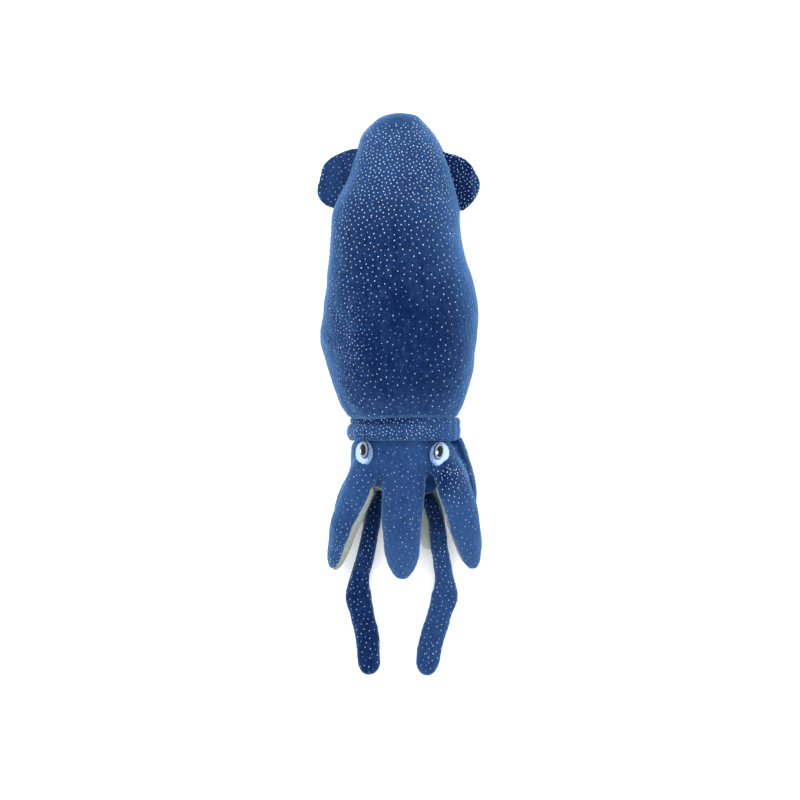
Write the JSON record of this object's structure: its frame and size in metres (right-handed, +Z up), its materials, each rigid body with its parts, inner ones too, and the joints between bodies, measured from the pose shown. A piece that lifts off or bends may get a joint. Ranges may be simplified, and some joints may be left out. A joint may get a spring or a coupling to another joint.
{
  "type": "plush toy squid",
  "caption": "Stuffed plush toy squid in dotted blue velour: pointed mantle with side fins, rolled collar, domed eyes, a crown of arms with cream undersides and long tentacles.",
  "frame": {"origin": "middle of the toy's outline on the surface that it lies on", "axes": "+Y towards the mantle tip, +Z up from the belly, +X to the right when the mantle points away"},
  "size_m": [0.1658, 0.562, 0.1307],
  "materials": {
    "blue_velour": "short velour pile, soft sheen at the edges",
    "cream_velour": "short cream pile",
    "ice_blue_plush": "pale soft pile",
    "eye_plastic": "high gloss, black pupil in a pale iris",
    "silver_foil": "pressed metallic foil dots on the pile"
  },
  "bodies": {
    "root": {"mantle": "blue_velour", "collar": "blue_velour", "head_and_arms": "blue_velour", "fin_left": "blue_velour", "fin_right": "blue_velour", "tentacle_left": "blue_velour", "tentacle_right": "blue_velour", "underside_top": "cream_velour", "underside_upper_left": "cream_velour", "underside_upper_right": "cream_velour", "underside_side_left": "cream_velour", "underside_side_right": "cream_velour", "underside_lower_left": "cream_velour", "underside_bottom": "cream_velour", "underside_lower_right": "cream_velour", "eye_patch_left": "ice_blue_plush", "eye_patch_right": "ice_blue_plush", "eye_left": "eye_plastic", "eye_right": "eye_plastic"}
  },
  "joints": []
}
